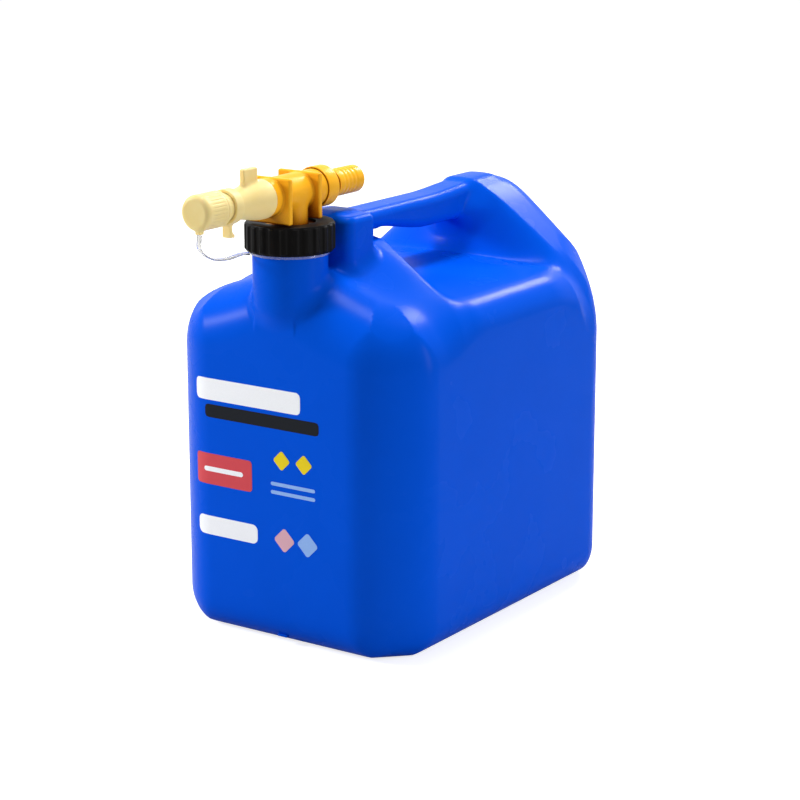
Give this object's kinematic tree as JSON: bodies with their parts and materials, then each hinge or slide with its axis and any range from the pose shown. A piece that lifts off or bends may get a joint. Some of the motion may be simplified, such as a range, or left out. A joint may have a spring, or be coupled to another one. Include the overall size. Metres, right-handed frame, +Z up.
{
  "type": "kerosene can",
  "caption": "Moulded blue kerosene can with a carrying handle, finger pocket, screw collar, push-button pour nozzle and tethered dust cap.",
  "frame": {"origin": "centre of the tank's base, on the surface that the can stands on", "axes": "+Z up, -Y the way the spout points, +X the can's own left side seen from behind the spout"},
  "size_m": [0.243, 0.4384, 0.396],
  "materials": {
    "tank_blue": "moulded HDPE, satin gloss",
    "collar_black": "moulded polypropylene, ribbed",
    "nozzle_amber": "moulded nylon, satin gloss",
    "spout_pale": "moulded natural HDPE",
    "clear_strap": "natural LDPE",
    "nitrile": "matt",
    "acetal": "machined acetal",
    "stainless": "drawn stainless steel"
  },
  "bodies": {
    "can": {"tank": "tank_blue", "tether_ring": "clear_strap", "cap_tether": "clear_strap"},
    "nozzle": {"nozzle_body": "nozzle_amber", "neck_gasket": "nitrile", "spout_tube": "spout_pale", "spout_seal": "nitrile", "rim_hook": "spout_pale", "rod_guide": "acetal", "vent_tube": "clear_strap", "return_spring": "stainless", "spring_seat": "stainless", "rod_seal": "nitrile", "seal_retainer": "acetal", "button_bezel": "nozzle_amber"},
    "collar": {"collar": "collar_black"},
    "button": {"thumb_button": "nozzle_amber", "valve_rod": "stainless", "valve_head": "acetal", "valve_seal": "nitrile", "rod_clip": "stainless"},
    "cap": {"dust_cap": "spout_pale"}
  },
  "joints": [
    {"name": "nozzle_lift", "type": "slide", "parent": "can", "child": "nozzle", "axis": [0, 0, 1], "range_m": [0, 0.01501], "deforming": ["cap_tether"]},
    {"name": "collar_turn", "type": "hinge", "parent": "nozzle", "child": "collar", "pos_m": [0, -0.149, 0.335], "axis": [0, 0, 1], "range_deg": [0, 900]},
    {"name": "button_press", "type": "slide", "parent": "nozzle", "child": "button", "axis": [0, -1, 0], "range_m": [0, 0.008], "stiffness_N_per_m": 900, "springref_m": -0.012, "deforming": ["return_spring"]},
    {"name": "cap_pull", "type": "slide", "parent": "nozzle", "child": "cap", "axis": [0, -1, 0], "range_m": [0, 0.03]}
  ],
  "couplings": [
    {"joint": "nozzle_lift", "follows": "collar_turn", "m_per_rad": 0.00095493}
  ]
}
